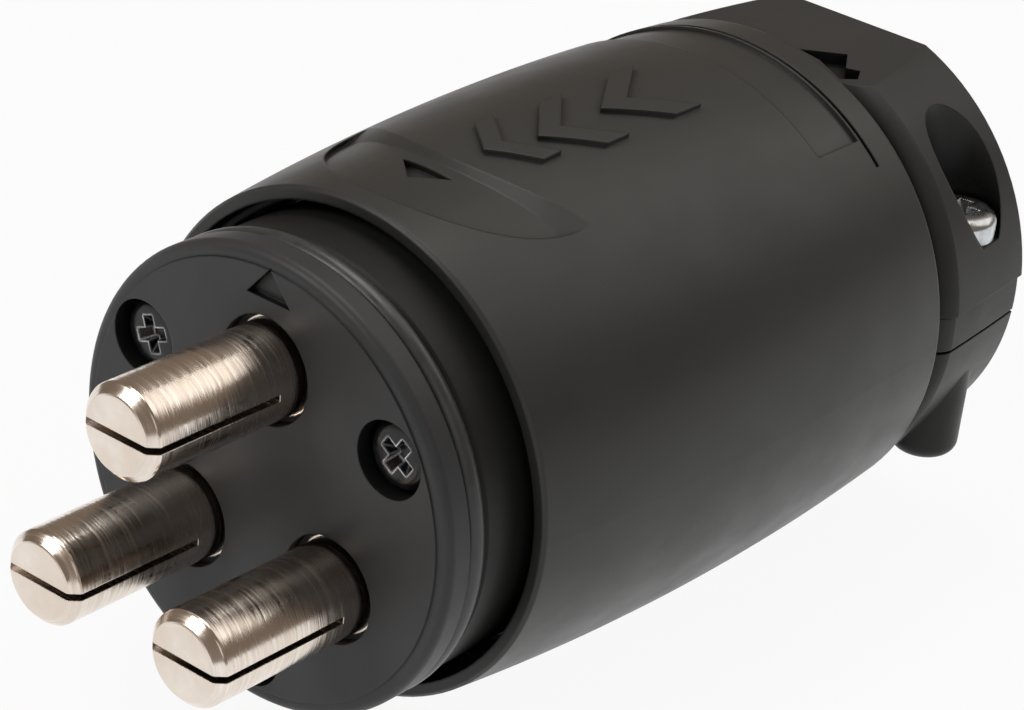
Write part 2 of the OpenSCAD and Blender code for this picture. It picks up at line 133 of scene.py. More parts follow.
class NodeBench:
    """A small bench on which the nodes of one material are laid out and joined."""

    NOISE_MIDDLE: Range = (0.3, 0.7)
    # The painted shade in gaps: the occlusion range that counts as open, and the occlusion
    # samples.
    OPEN_SHARE: Range = (0.35, 0.92)
    EDGE_FACING: Range = (0.93, 0.996)
    WALL_SAMPLES = 8
    BEVEL_SAMPLES = 6
    MIX_FACTOR, MIX_FIRST, MIX_SECOND, MIX_RESULT = 0, 6, 7, 2

    def __init__(self, name: str) -> None:
        """Starts an empty material with a Principled shader.

        Args:
            name: the material's name.
        """
        self.material = bpy.data.materials.new(name)
        self.material.use_nodes = True
        self.tree = self.material.node_tree
        self.shader = self.tree.nodes["Principled BSDF"]

    def add(self, kind: str, **settings: object) -> bpy.types.Node:
        """Adds a node.

        Args:
            kind: the node's type, without the ShaderNode prefix.
            settings: values for its properties, or for its inputs by name.

        Returns:
            The new node.
        """
        node = self.tree.nodes.new("ShaderNode" + kind)
        for key, value in settings.items():
            if hasattr(node, key):
                setattr(node, key, value)
            else:
                node.inputs[key.replace("_", " ")].default_value = value
        return node

    def join(self, source: Socket, target: Socket) -> None:
        """Joins an output socket to an input socket."""
        self.tree.links.new(source, target)

    def drive(self, name: str, source: Socket) -> None:
        """Joins an output socket to the shader's input of that name."""
        self.join(source, self.shader.inputs[name])

    def place(self, scale: Point) -> Socket:
        """Lays object coordinates through a mapping.

        Args:
            scale: how many pattern units one metre holds along each axis.

        Returns:
            The mapped coordinates.
        """
        coords = self.add("TexCoord")
        mapping = self.add("Mapping", Scale=scale)
        self.join(coords.outputs["Object"], mapping.inputs["Vector"])
        return mapping.outputs["Vector"]

    def along(self, axis: str) -> Socket:
        """Gives the place along one axis, in metres."""
        split = self.add("SeparateXYZ")
        self.join(self.place((1.0, 1.0, 1.0)), split.inputs[0])
        return split.outputs[axis]

    def noise(self, pattern: Pattern) -> Socket:
        """Adds a noise pattern and gives its value, from 0 to 1."""
        noise = self.add("TexNoise", Scale=1.0, Detail=pattern.detail, Roughness=pattern.rough)
        self.join(self.place(pattern.scale), noise.inputs["Vector"])
        return noise.outputs["Fac"]

    def remap(self, value: Socket, old: Range, new: Range) -> Socket:
        """Maps one range of values to another and holds it at the ends.

        Args:
            value: the value.
            old: the range that it comes from.
            new: the range that it goes to.

        Returns:
            The mapped value.
        """
        ranger = self.add("MapRange")
        for socket, number in zip(ranger.inputs[1:5], (*old, *new)):
            socket.default_value = number
        self.join(value, ranger.inputs[0])
        return ranger.outputs[0]

    def spread(self, value: Socket, low: float, high: float) -> Socket:
        """Maps the middle of a noise, where nearly all its values lie, to a range.

        Args:
            value: a value from 0 to 1.
            low: the result at the low end of the middle.
            high: the result at its high end.

        Returns:
            The mapped value.
        """
        return self.remap(value, self.NOISE_MIDDLE, (low, high))

    def multiply(self, first: Socket, second: Socket) -> Socket:
        """Multiplies two values."""
        product = self.add("Math", operation="MULTIPLY")
        self.join(first, product.inputs[0])
        self.join(second, product.inputs[1])
        return product.outputs[0]

    def blend(self, value: Socket, first: Colour, second: Colour | Socket) -> Socket:
        """Colours the shader between two colours.

        Args:
            value: how much of the second colour there is, from 0 to 1.
            first: the colour at 0.
            second: the colour at 1, or the socket that gives it.

        Returns:
            The blended colour, which the shader now has.
        """
        mix = self.add("Mix", data_type="RGBA")
        mix.inputs[self.MIX_FIRST].default_value = (*first, 1.0)
        if isinstance(second, tuple):
            mix.inputs[self.MIX_SECOND].default_value = (*second, 1.0)
        else:
            self.join(second, mix.inputs[self.MIX_SECOND])
        self.join(value, mix.inputs[self.MIX_FACTOR])
        result = mix.outputs[self.MIX_RESULT]
        self.drive("Base Color", result)
        return result

    def shade_openness(self, reach: float) -> Socket:
        """Tells open surface from the insides of gaps and pockets, for the shade painted there.

        Args:
            reach: how far off a wall still counts, in metres.

        Returns:
            A value that is 1 in the open and falls to 0 deep inside.
        """
        walls = self.add("AmbientOcclusion", samples=self.WALL_SAMPLES, Distance=reach)
        return self.remap(walls.outputs["AO"], self.OPEN_SHARE, WHOLE)

    def soften(self, radius: float) -> Socket:
        """Rounds the look of sharp edges.

        Args:
            radius: the rounding in metres.

        Returns:
            The softened direction of the surface.
        """
        bevel = self.add("Bevel", samples=self.BEVEL_SAMPLES, Radius=radius)
        return bevel.outputs["Normal"]

    def worn_edges(self, radius: float) -> Socket:
        """Finds the sharp edges, which handling rubs bare.

        Args:
            radius: how wide the rubbed band is, in metres.

        Returns:
            A value that is 1 on an edge and 0 away from it.
        """
        rounded = self.soften(radius)
        facing = self.add("VectorMath", operation="DOT_PRODUCT")
        self.join(rounded, facing.inputs[0])
        self.join(self.add("NewGeometry").outputs["Normal"], facing.inputs[1])
        return self.remap(facing.outputs["Value"], self.EDGE_FACING, REVERSED)

    def bump(
        self, height: Socket, distance: float, strength: float, normal: Socket | None = None
    ) -> Socket:
        """Raises a pattern from the surface.

        Args:
            height: the pattern.
            distance: its height in metres.
            strength: how strongly it shows.
            normal: the surface's direction before it, if something has already turned it.

        Returns:
            The new direction of the surface.
        """
        bump = self.add("Bump", Strength=strength, Distance=distance)
        self.join(height, bump.inputs["Height"])
        if normal is not None:
            self.join(normal, bump.inputs["Normal"])
        return bump.outputs["Normal"]


@dataclass(frozen=True)
class MouldedPlastic:
    """Glass-filled plastic from a spark-eroded mould, with painted shade in its gaps and on the
    neck that the sleeve covers.
    """

    name: str
    colour: Colour
    roughness: float
    specular: float = 0.3
    ior: float = 1.5
    rough_fall: float = 0.04
    rough_rise: float = 0.05
    edge_radius: float = 0.22 * MM
    # Painted shade: the colour falls towards a near-black inside gaps and pockets, up to this
    # reach from a wall.
    gap_shade_reach: float = 7.0 * MM
    painted_gap_shade: Colour = (0.004, 0.004, 0.004)
    # Painted shade on the neck: in front of this y the colour turns near-black, where the sleeve
    # shades the neck.
    painted_neck_shade: Colour = (0.016, 0.016, 0.015)
    painted_shade_to_y: float | None = None
    painted_shade_fade: float = 0.2 * MM
    flow: Pattern = Pattern((90.0, 45.0, 90.0), 4.0, 0.55)
    flow_light: float = 1.16
    sheen: Pattern = Pattern((240.0, 160.0, 240.0), 5.0, 0.6)
    grain: Pattern = Pattern.even(5200.0, 2.0)
    grain_height: float = 0.012 * MM
    grain_strength: float = 0.5

    def build(self) -> bpy.types.Material:
        """Builds the material and returns it."""
        bench = NodeBench(self.name)
        bench.shader.inputs["IOR"].default_value = self.ior
        bench.shader.inputs["Specular IOR Level"].default_value = self.specular
        lighter = tuple(min(1.0, channel * self.flow_light) for channel in self.colour)
        flow = bench.noise(self.flow)
        colour = bench.blend(bench.spread(flow, *WHOLE), self.colour, lighter)
        # Painted shade: ambient occlusion darkens the colour inside gaps and pockets.
        colour = bench.blend(bench.shade_openness(self.gap_shade_reach), self.painted_gap_shade, colour)
        sheen = bench.noise(self.sheen)
        low, high = self.roughness - self.rough_fall, self.roughness + self.rough_rise
        bench.drive("Roughness", bench.spread(sheen, low, high))
        # Painted shade: the neck in front of the sleeve's rear end is darkened, since it lies in
        # the sleeve's shade.
        if self.painted_shade_to_y is not None:
            edge = (self.painted_shade_to_y, self.painted_shade_to_y + self.painted_shade_fade)
            behind = bench.remap(bench.along("Y"), edge, WHOLE)
            bench.blend(behind, self.painted_neck_shade, colour)
        grain = bench.noise(self.grain)
        softened = bench.soften(self.edge_radius)
        normal = bench.bump(grain, self.grain_height, self.grain_strength, softened)
        bench.drive("Normal", normal)
        return bench.material


@dataclass(frozen=True)
class TurnedMetal:
    """Plated metal off the lathe, with streaky tool lines round the Y axis and a little stain."""

    name: str
    colour: Colour
    tarnish: Colour
    roughness: float
    line_strength: float = 0.35
    rough_fall: float = 0.06
    rough_rise: float = 0.16
    edge_radius: float = 0.12 * MM
    lines: Pattern = Pattern((130.0, 3400.0, 130.0), 3.0, 0.65)
    line_height: float = 0.04 * MM
    coarse_lines: Pattern = Pattern((90.0, 1360.0, 90.0), 1.0)
    coarse_height: float = 0.03 * MM
    coarse_share: float = 0.6
    stain: Pattern = Pattern((150.0, 260.0, 150.0), 5.0, 0.65)
    stain_share: float = 0.8

    def build(self) -> bpy.types.Material:
        """Builds the material and returns it."""
        bench = NodeBench(self.name)
        bench.shader.inputs["Metallic"].default_value = 1.0
        lines = bench.noise(self.lines)
        streaks = bench.blend(bench.spread(lines, *WHOLE), self.colour, self.tarnish)
        stain = bench.noise(self.stain)
        bench.blend(bench.spread(stain, 0.0, self.stain_share), self.tarnish, streaks)
        low, high = self.roughness - self.rough_fall, self.roughness + self.rough_rise
        bench.drive("Roughness", bench.spread(lines, low, high))
        coarse = bench.noise(self.coarse_lines)
        softened = bench.soften(self.edge_radius)
        normal = bench.bump(lines, self.line_height, self.line_strength, softened)
        strength = self.line_strength * self.coarse_share
        normal = bench.bump(coarse, self.coarse_height, strength, normal)
        bench.drive("Normal", normal)
        return bench.material


@dataclass(frozen=True)
class PlatedScrew:
    """Plated or blackened steel, rubbed bare along its edges."""

    name: str
    colour: Colour
    worn: Colour
    roughness: float
    metallic: float = 1.0
    specular: float = 0.5
    rough_fall: float = 0.06
    rough_rise: float = 0.12
    edge_radius: float = 0.07 * MM
    bare: Colour = (0.75, 0.75, 0.76)
    rub_width: float = 0.3 * MM
    rub_least: float = 0.35
    rub_patches: Pattern = Pattern.even(700.0)
    wear: Pattern = Pattern.even(900.0, 5.0, 0.7)
    dents: Pattern = Pattern.even(2600.0, 3.0, 0.6)
    dent_depth: float = 0.02 * MM
    dent_strength: float = 0.3

    def build(self) -> bpy.types.Material:
        """Builds the material and returns it."""
        bench = NodeBench(self.name)
        bench.shader.inputs["Specular IOR Level"].default_value = self.specular
        wear = bench.noise(self.wear)
        colour = bench.blend(bench.spread(wear, *WHOLE), self.colour, self.worn)
        edges = bench.worn_edges(self.rub_width)
        patches = bench.spread(bench.noise(self.rub_patches), self.rub_least, 1.0)
        covered = bench.remap(bench.multiply(edges, patches), WHOLE, REVERSED)
        bench.blend(covered, self.bare, colour)
        bench.drive("Metallic", bench.remap(covered, WHOLE, (1.0, self.metallic)))
        low, high = self.roughness - self.rough_fall, self.roughness + self.rough_rise
        bench.drive("Roughness", bench.spread(wear, low, high))
        dents = bench.noise(self.dents)
        softened = bench.soften(self.edge_radius)
        bench.drive("Normal", bench.bump(dents, self.dent_depth, self.dent_strength, softened))
        return bench.material


@dataclass(frozen=True)
class SealRubber:
    """Smooth black rubber with a little bloom."""

    name: str
    colour: Colour
    rough_low: float = 0.3
    rough_high: float = 0.42
    bloom: Pattern = Pattern.even(700.0, 4.0, 0.6)
    bloom_light: float = 1.5
    skin: Pattern = Pattern.even(4200.0, 2.0)
    skin_height: float = 0.01 * MM
    skin_strength: float = 0.3

    def build(self) -> bpy.types.Material:
        """Builds the material and returns it."""
        bench = NodeBench(self.name)
        bloom = bench.noise(self.bloom)
        lighter = tuple(channel * self.bloom_light for channel in self.colour)
        bench.blend(bench.spread(bloom, *WHOLE), self.colour, lighter)
        bench.drive("Roughness", bench.spread(bloom, self.rough_low, self.rough_high))
        skin = bench.noise(self.skin)
        bench.drive("Normal", bench.bump(skin, self.skin_height, self.skin_strength))
        return bench.material


# ---------------------------------------------------------------------------
# Modelling
# ---------------------------------------------------------------------------


class Workshop:
    """The hand operations with which new pieces are modelled."""

    @staticmethod
    def clear() -> None:
        """Leaves edit mode and deselects every object."""
        if bpy.context.object and bpy.context.object.mode != "OBJECT":
            bpy.ops.object.mode_set(mode="OBJECT")
        bpy.ops.object.select_all(action="DESELECT")

    @staticmethod
    def pick(piece: bpy.types.Object) -> None:
        """Makes a piece the only selected and the active one."""
        Workshop.clear()
        piece.select_set(True)
        bpy.context.view_layer.objects.active = piece

    @staticmethod
    def apply() -> None:
        """Moves the selected piece's place, turn and size into its mesh."""
        bpy.ops.object.transform_apply(location=True, rotation=True, scale=True)

    @staticmethod
    def rod(name: str, radius: float, depth: float, sides: int) -> bpy.types.Object:
        """Adds a rod that hangs down from the origin.

        Args:
            name: the piece's name.
            radius: its radius in metres.
            depth: its length in metres.
            sides: how many sides it has.

        Returns:
            The new piece, selected.
        """
        Workshop.clear()
        bpy.ops.mesh.primitive_cylinder_add(
            vertices=sides, radius=radius, depth=depth, location=(0, 0, -depth / 2)
        )
        piece = bpy.context.object
        piece.name = name
        piece.data.name = name
        Workshop.apply()
        return piece

    @staticmethod
    def block(size: Point, turn_deg: float = 0.0) -> bpy.types.Object:
        """Adds a block round the origin.

        Args:
            size: its sizes in metres before it is turned.
            turn_deg: how far it is turned round Z.

        Returns:
            The new block, selected.
        """
        Workshop.clear()
        bpy.ops.mesh.primitive_cube_add(size=1.0, location=(0, 0, 0))
        block = bpy.context.object
        block.scale = size
        block.rotation_euler.z = math.radians(turn_deg)
        Workshop.apply()
        return block

    @staticmethod
    def select_cap(piece: bpy.types.Object, height: float) -> None:
        """Selects the flat face at a height and leaves the piece in edit mode.

        Args:
            piece: the piece.
            height: the height of the face in metres.
        """
        Workshop.pick(piece)
        bpy.ops.object.mode_set(mode="EDIT")
        bpy.ops.mesh.select_mode(type="FACE")
        bpy.ops.mesh.select_all(action="DESELECT")
        bpy.ops.object.mode_set(mode="OBJECT")
        for face in piece.data.polygons:
            level = abs(face.center.z - height) < CAP_TOLERANCE
            face.select = level and abs(face.normal.z) > CAP_NORMAL
        bpy.ops.object.mode_set(mode="EDIT")

    @staticmethod
    def pull(distance: float, scale: float = 1.0) -> None:
        """Extrudes the selected cap along Z and scales its new rim.

        Args:
            distance: how far it goes, in metres.
            scale: the new rim's size against the old one's.
        """
        bpy.ops.mesh.extrude_region_move(TRANSFORM_OT_translate={"value": (0, 0, distance)})
        bpy.ops.transform.resize(value=(scale, scale, 1.0))

    @staticmethod
    def crown(piece: bpy.types.Object, radius: float, profile: Iterable[Range]) -> None:
        """Raises a turned end on the cap at the origin and lowers the piece by its height.

        Args:
            piece: the piece.
            radius: the cap's radius.
            profile: the radius and the height of each further ring.
        """
        Workshop.select_cap(piece, 0.0)
        height = 0.0
        for new_radius, new_height in profile:
            Workshop.pull(new_height - height, new_radius / radius)
            radius, height = new_radius, new_height
        Workshop.clear()
        piece.location.z -= height
        Workshop.pick(piece)
        Workshop.apply()

    @staticmethod
    def cut(piece: bpy.types.Object, cutter: bpy.types.Object) -> None:
        """Cuts one piece out of another and throws the cutter away.

        Args:
            piece: the piece that is cut.
            cutter: the piece that cuts it.
        """
        Workshop.pick(piece)
        modifier = piece.modifiers.new("cut", "BOOLEAN")
        modifier.operation = "DIFFERENCE"
        modifier.solver = "EXACT"
        modifier.object = cutter
        bpy.ops.object.modifier_apply(modifier=modifier.name)
        bpy.data.objects.remove(cutter)

    @staticmethod
    def finish(piece: bpy.types.Object, place: Matrix, angle_deg: float = SMOOTH_DEG) -> None:
        """Puts a finished piece in its place, with the place in its mesh.

        Args:
            piece: the piece.
            place: where its origin goes.
            angle_deg: the angle above which an edge stays sharp.
        """
        Workshop.pick(piece)
        piece.matrix_world = place
        Workshop.apply()
        bpy.ops.object.shade_smooth_by_angle(angle=math.radians(angle_deg))
        Workshop.clear()

    @staticmethod
    def copy(piece: bpy.types.Object, name: str) -> bpy.types.Object:
        """Copies a piece with a mesh of its own.

        Args:
            piece: the piece.
            name: the copy's name.

        Returns:
            The copy.
        """
        double = piece.copy()
        double.data = piece.data.copy()
        double.name = name
        double.data.name = name
        bpy.context.scene.collection.objects.link(double)
        return double


@dataclass
class CrossHeadScrew:
    """A screw with a domed head, a tapered cross recess and a threaded shank.

    The dome's edge, the blades and the core are in head radii, flank and crest in pitches. The
    dome's top, root, tip and tapers compare a rim with the one before it.
    """

    name: str
    head_radius: float
    head_height: float
    shank_radius: float
    shank_length: float
    dome: float
    recess_depth: float
    sides: int = 56
    dome_rings: int = 5
    dome_turn_deg: float = 78.0
    dome_edge: float = 0.62
    dome_top: float = 0.55
    plain_length: float = 6.0 * MM
    pitch: float = 0.7 * MM
    flank: float = 0.35
    crest: float = 0.3
    root: float = 0.86
    tip_length: float = 0.8 * MM
    tip: float = 0.6
    blade_long: float = 1.6
    blade_wide: float = 0.42
    blade_long_taper: float = 0.34
    blade_wide_taper: float = 0.7
    core_low: float = 0.1
    core_high: float = 0.62
    core_sides: int = 4

    def build(self) -> bpy.types.Object:
        """Models the screw with its head's top at the origin and its tip down.

        Returns:
            The screw.
        """
        rim = self.head_height - self.dome
        screw = Workshop.rod(self.name, self.head_radius, rim, self.sides)
        Workshop.crown(screw, self.head_radius, self.dome_profile())
        self.run_shank(screw)
        self.cut_recess(screw)
        return screw

    def dome_profile(self) -> list[Range]:
        """Gives the radius and the height of each ring of the domed head."""
        profile = []
        for ring in range(1, self.dome_rings + 1):
            turn = math.radians(self.dome_turn_deg * ring / self.dome_rings)
            inner = self.dome_edge + (1.0 - self.dome_edge) * math.cos(turn)
            profile.append((self.head_radius * inner, self.dome * math.sin(turn)))
        profile.append((profile[-1][0] * self.dome_top, self.dome))
        return profile

    def run_shank(self, screw: bpy.types.Object) -> None:
        """Pulls the shank out of the head's underside, plain first and then ridged.

        Args:
            screw: the screw.
        """
        Workshop.select_cap(screw, -self.head_height)
        bpy.ops.mesh.inset(thickness=self.head_radius - self.shank_radius)
        Workshop.pull(-self.plain_length)
        threaded = self.shank_length - self.plain_length - self.tip_length
        for _ in range(int(threaded / self.pitch)):
            Workshop.pull(-self.flank * self.pitch, self.root)
            Workshop.pull(-self.flank * self.pitch, 1.0 / self.root)
            Workshop.pull(-self.crest * self.pitch)
        Workshop.pull(-self.tip_length, self.tip)
        bpy.ops.object.mode_set(mode="OBJECT")

    def cut_recess(self, screw: bpy.types.Object) -> None:
        """Cuts the cross with two tapered blades and a conical centre.

        Args:
            screw: the screw.
        """
        size = (
            self.blade_long * self.head_radius,
            self.blade_wide * self.head_radius,
            2 * self.recess_depth,
        )
        taper = (self.blade_long_taper, self.blade_wide_taper)
        for turn_deg, narrow in ((0.0, taper), (90.0, taper[::-1])):
            blade = Workshop.block(size, turn_deg)
            Workshop.select_cap(blade, -self.recess_depth)
            bpy.ops.transform.resize(value=(*narrow, 1.0))
            bpy.ops.object.mode_set(mode="OBJECT")
            Workshop.cut(screw, blade)
        Workshop.clear()
        bpy.ops.mesh.primitive_cone_add(
            vertices=self.core_sides,
            radius1=self.core_low * self.head_radius,
            radius2=self.core_high * self.head_radius,
            depth=2 * self.recess_depth,
        )
        core = bpy.context.object
        Workshop.apply()
        Workshop.cut(screw, core)


@dataclass
class SplitPin:
    """A turned contact pin whose exposed length is split by a fine level slit.

    Stem and collar end that far behind the mating face. Each bevel ring is an inset and a rise,
    both as shares of the bevel.
    """

    name: str
    length: float
    exposed: float
    radius: float = 4.0 * MM
    sides: int = 96
    bevel: float = 0.9 * MM
    bevel_rings: tuple[Range, ...] = ((0.08, 0.2), (0.8, 0.92), (1.0, 1.0))
    well_depth: float = 1.2 * MM
    stem_radius: float = 4.2 * MM
    stem_end: float = 8.52 * MM
    collar_radius: float = 5.25 * MM
    collar_end: float = 12.0 * MM
    barrel_radius: float = 4.5 * MM
    wire_radius: float = 3.0 * MM
    wire_depth: float = 8.0 * MM
    screw_radius: float = 2.02 * MM
    screw_sides: int = 48
    slit_width: float = 0.6 * MM
    slit_short_of_face: float = 2.4 * MM
    smooth_deg: float = 20.0

    def build(self) -> bpy.types.Object:
        """Models the pin with its tip at the origin and its wire end down.

        Returns:
            The pin.
        """
        front = self.exposed + self.well_depth
        pin = Workshop.rod(self.name, self.radius, front - self.bevel, self.sides)
        rings = [
            (self.radius - inset * self.bevel, rise * self.bevel)
            for inset, rise in self.bevel_rings
        ]
        Workshop.crown(pin, self.radius, rings)
        Workshop.select_cap(pin, -front)
        radius, place = self.radius, self.well_depth
        for wider, end in (
            (self.stem_radius, self.stem_end),
            (self.collar_radius, self.collar_end),
            (self.barrel_radius, self.length - self.exposed),
        ):
            Workshop.pull(0.0, wider / radius)
            Workshop.pull(place - end)
            radius, place = wider, end
        Workshop.pull(0.0, self.wire_radius / radius)
        Workshop.pull(self.wire_depth)
        bpy.ops.object.mode_set(mode="OBJECT")
        slit_depth = self.exposed - self.slit_short_of_face
        saw = Workshop.block((3 * self.radius, self.slit_width, 2 * slit_depth))
        Workshop.cut(pin, saw)
        return pin

    def drill_for_screw(self, pin: bpy.types.Object, centre: Vector) -> None:
        """Drills the hole of the terminal screw into a pin that is in its place.

        Args:
            pin: the pin.
            centre: the middle of the wire bore on the pin's axis.
        """
        outward = Vector((centre.x, 0.0, centre.z)).normalized()
        Workshop.clear()
        bpy.ops.mesh.primitive_cylinder_add(
            vertices=self.screw_sides,
            radius=self.screw_radius,
            depth=2 * self.radius,
            location=centre + outward * self.radius,
            rotation=outward.to_track_quat("Z", "Y").to_euler(),
        )
        drill = bpy.context.object
        Workshop.apply()
        Workshop.cut(pin, drill)


# ---------------------------------------------------------------------------
# Sub-assemblies
# ---------------------------------------------------------------------------


@dataclass(frozen=True)
class Finishes:
    """Every finish on the plug."""

    sleeve: MouldedPlastic = MouldedPlastic(
        "sleeve_satin_black", (0.034, 0.0335, 0.0315), roughness=0.4, edge_radius=0.3 * MM
    )
    body: MouldedPlastic = MouldedPlastic(
        "body_satin_black", (0.036, 0.0355, 0.034), roughness=0.42, specular=0.18
    )
    face: MouldedPlastic = MouldedPlastic("face_charcoal", (0.034, 0.0338, 0.035), roughness=0.46)
    grommet: MouldedPlastic = MouldedPlastic("grommet_black", (0.03, 0.03, 0.029), roughness=0.5)
    insulator: MouldedPlastic = MouldedPlastic(
        "insulator_buff", (0.42, 0.37, 0.28), roughness=0.5
    )
    pin: TurnedMetal = TurnedMetal(
        "pin_nickel", (0.9, 0.85, 0.79), (0.66, 0.57, 0.49), roughness=0.17, line_strength=0.42
    )
    brass: TurnedMetal = TurnedMetal(
        "terminal_brass", (0.72, 0.53, 0.25), (0.58, 0.4, 0.18), roughness=0.25
    )
    ring: TurnedMetal = TurnedMetal(
        "ring_spring_steel", (0.5, 0.5, 0.49), (0.34, 0.33, 0.31), roughness=0.3
    )
    black_screw: PlatedScrew = PlatedScrew(
        "screw_black_oxide",
        (0.004, 0.004, 0.005),
        (0.014, 0.014, 0.015),
        roughness=0.18,
        metallic=0.0,
        specular=0.3,
    )
    zinc_screw: PlatedScrew = PlatedScrew(
        "screw_zinc", (0.62, 0.64, 0.66), (0.4, 0.42, 0.43), roughness=0.24
    )
    seal: SealRubber = SealRubber("seal_black_rubber", (0.03, 0.03, 0.03))


def dress(node: bpy.types.Object, material: bpy.types.Material) -> None:
    """Gives a piece its finish in every slot.

    Args:
        node: the piece.
        material: its finish.
    """
    if not node.material_slots:
        node.data.materials.append(material)
    for slot in node.material_slots:
        slot.material = material
    LOG.info("dressed %s with %s", node.name, material.name)


@dataclass
class MouldedHousing:
    """Sleeve, body, face, clamp parts, insulator and seal: moulded parts that keep their shape."""

    finishes: Finishes

    def build(self, nodes: dict[str, bpy.types.Object]) -> None:
        """Dresses each moulded part.

        Args:
            nodes: the frame's pieces by name.
        """
        sleeve_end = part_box("locking_sleeve")[1].y
        body = self.finishes.body.build()
        # The core's neck inside the sleeve gets painted shade up to the sleeve's rear end.
        neck = replace(self.finishes.body, name="neck_painted_shade_black", painted_shade_to_y=sleeve_end)
        table = {
            "locking_sleeve": self.finishes.sleeve.build(),
            "core_body": neck.build(),
            "clamp_jaw": body,
            "contact_carrier": self.finishes.face.build(),
            "cable_grommet": self.finishes.grommet.build(),
            "rear_insulator": self.finishes.insulator.build(),
            "face_seal": self.finishes.seal.build(),
        }
        for name, material in table.items():
            dress(nodes[name], material)


@dataclass
class Contacts:
    """Pins, their set screws, the brass inserts and the retaining ring."""

    finishes: Finishes

    def build(self, nodes: dict[str, bpy.types.Object]) -> None:
        """Models the split pins and dresses the metal parts that keep their shape.

        Args:
            nodes: the frame's pieces by name.
        """
        pin = self.finishes.pin.build()
        brass = self.finishes.brass.build()
        for place in (Place.TOP, *SIDES):
            self.set_pin(f"contact_pin_{place.value}", pin)
            dress(nodes[f"terminal_screw_{place.value}"], brass)
        for place in SIDES:
            dress(nodes[f"clamp_insert_{place.value}"], brass)
        dress(nodes["retaining_ring"], self.finishes.ring.build())

    def set_pin(self, node: str, material: bpy.types.Material) -> None:
        """Models one pin in its place.

        Args:
            node: the plain pin that it stands for.
            material: the finish.
        """
        low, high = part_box(node)
        centre = (low + high) / 2
        design = SplitPin(f"{node}_detailed", length=high.y - low.y, exposed=-low.y)
        pin = design.build()
        seat = Matrix.Translation((centre.x, low.y, centre.z)) @ HEAD_FORWARD
        Workshop.finish(pin, seat, design.smooth_deg)
        bore = Vector((centre.x, high.y - design.wire_depth / 2, centre.z))
        design.drill_for_screw(pin, bore)
        dress(pin, material)
        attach(pin, PLUG_BODY)
        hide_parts(node)


@dataclass(frozen=True)
class ScrewFamily:
    """One kind of screw: its nodes, its slot and what its nodes' boxes don't tell."""

    name: str
    places: tuple[Place, ...]
    slot: str
    upright: bool
    first_turn_deg: float
    head_height: float
    shank_radius: float
    dome: float
    recess_depth: float
    turn_step_deg: float = 37.0

    def pattern(self, low: Vector, high: Vector) -> bpy.types.Object:
        """Models the screw at the origin.

        Args:
            low: the lowest corner of the plain screw's box.
            high: the highest corner of it.

        Returns:
            The screw, to be copied.
        """
        size = high - low
        length = size.z if self.upright else size.y
        screw = CrossHeadScrew(
            name=f"{self.name}_pattern",
            head_radius=size.x / 2,
            head_height=self.head_height,
            shank_radius=self.shank_radius,
            shank_length=length - self.head_height,
            dome=self.dome,
            recess_depth=self.recess_depth,
        )
        return screw.build()

    def seat(self, low: Vector, high: Vector, number: int) -> Matrix:
        """Finds where one screw goes and how far its cross is turned.

        Args:
            low: the lowest corner of the plain screw's box.
            high: the highest corner of it.
            number: how many screws of the family come before it.

        Returns:
            The place of the screw's origin.
        """
        centre = (low + high) / 2
        turn_deg = self.first_turn_deg + self.turn_step_deg * number
        turn = Matrix.Rotation(math.radians(turn_deg), 4, "Z")
        if self.upright:
            return Matrix.Translation((centre.x, centre.y, high.z)) @ turn
        return Matrix.Translation((centre.x, low.y, centre.z)) @ HEAD_FORWARD @ turn


FACE_SCREWS = ScrewFamily(
    name="face_screw",
    places=(*SIDES, Place.BOTTOM),
    slot="black_screw",
    upright=False,
    first_turn_deg=20.0,
    head_height=1.3 * MM,
    shank_radius=1.5 * MM,
    dome=0.75 * MM,
    recess_depth=1.1 * MM,
)
CLAMP_SCREWS = ScrewFamily(
    name="clamp_screw",
    places=SIDES,
    slot="zinc_screw",
    upright=True,
    first_turn_deg=62.0,
    head_height=2.4 * MM,
    shank_radius=1.75 * MM,
    dome=0.9 * MM,
    recess_depth=1.5 * MM,
)


@dataclass
class ScrewSet:
    """All the cross-head screws: three black ones in the face and two zinc ones in the clamp."""

    finishes: Finishes

    def build(self) -> None:
        """Models, places and dresses the screws."""
        black = self.finishes.black_screw.build()
        zinc = self.finishes.zinc_screw.build()
        self.set_family(FACE_SCREWS, black)
        self.set_family(CLAMP_SCREWS, zinc)

    def set_family(self, family: ScrewFamily, material: bpy.types.Material) -> None:
        """Models one kind of screw and sets a copy in each of its places.

        Args:
            family: the kind of screw.
            material: the finish.
        """
        nodes = [f"{family.name}_{place.value}" for place in family.places]
        pattern = family.pattern(*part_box(nodes[0]))
        for number, node in enumerate(nodes):
            screw = Workshop.copy(pattern, f"{node}_detailed")
            Workshop.finish(screw, family.seat(*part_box(node), number))
            dress(screw, material)
            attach(screw, PLUG_BODY)
            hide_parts(node)
        bpy.data.objects.remove(pattern)


# ---------------------------------------------------------------------------
# Studio
# ---------------------------------------------------------------------------


@dataclass(frozen=True)
class SoftBox:
    """One large soft lamp, in metres and watts."""

    name: str
    place: Point
    size: float
    watts: float
    colour: Colour

    def build(self, target: Vector) -> None:
        """Hangs the lamp and turns it to the plug.

        Args:
            target: the point that it lights.
        """
        lamp = bpy.data.lights.new(self.name, "AREA")
        lamp.shape = "SQUARE"
        lamp.size = self.size
        lamp.energy = self.watts
        lamp.color = self.colour
        holder = bpy.data.objects.new(self.name, lamp)
        bpy.context.scene.collection.objects.link(holder)
        holder.location = self.place
        aim = target - Vector(self.place)
        holder.rotation_euler = aim.to_track_quat("-Z", "Y").to_euler()


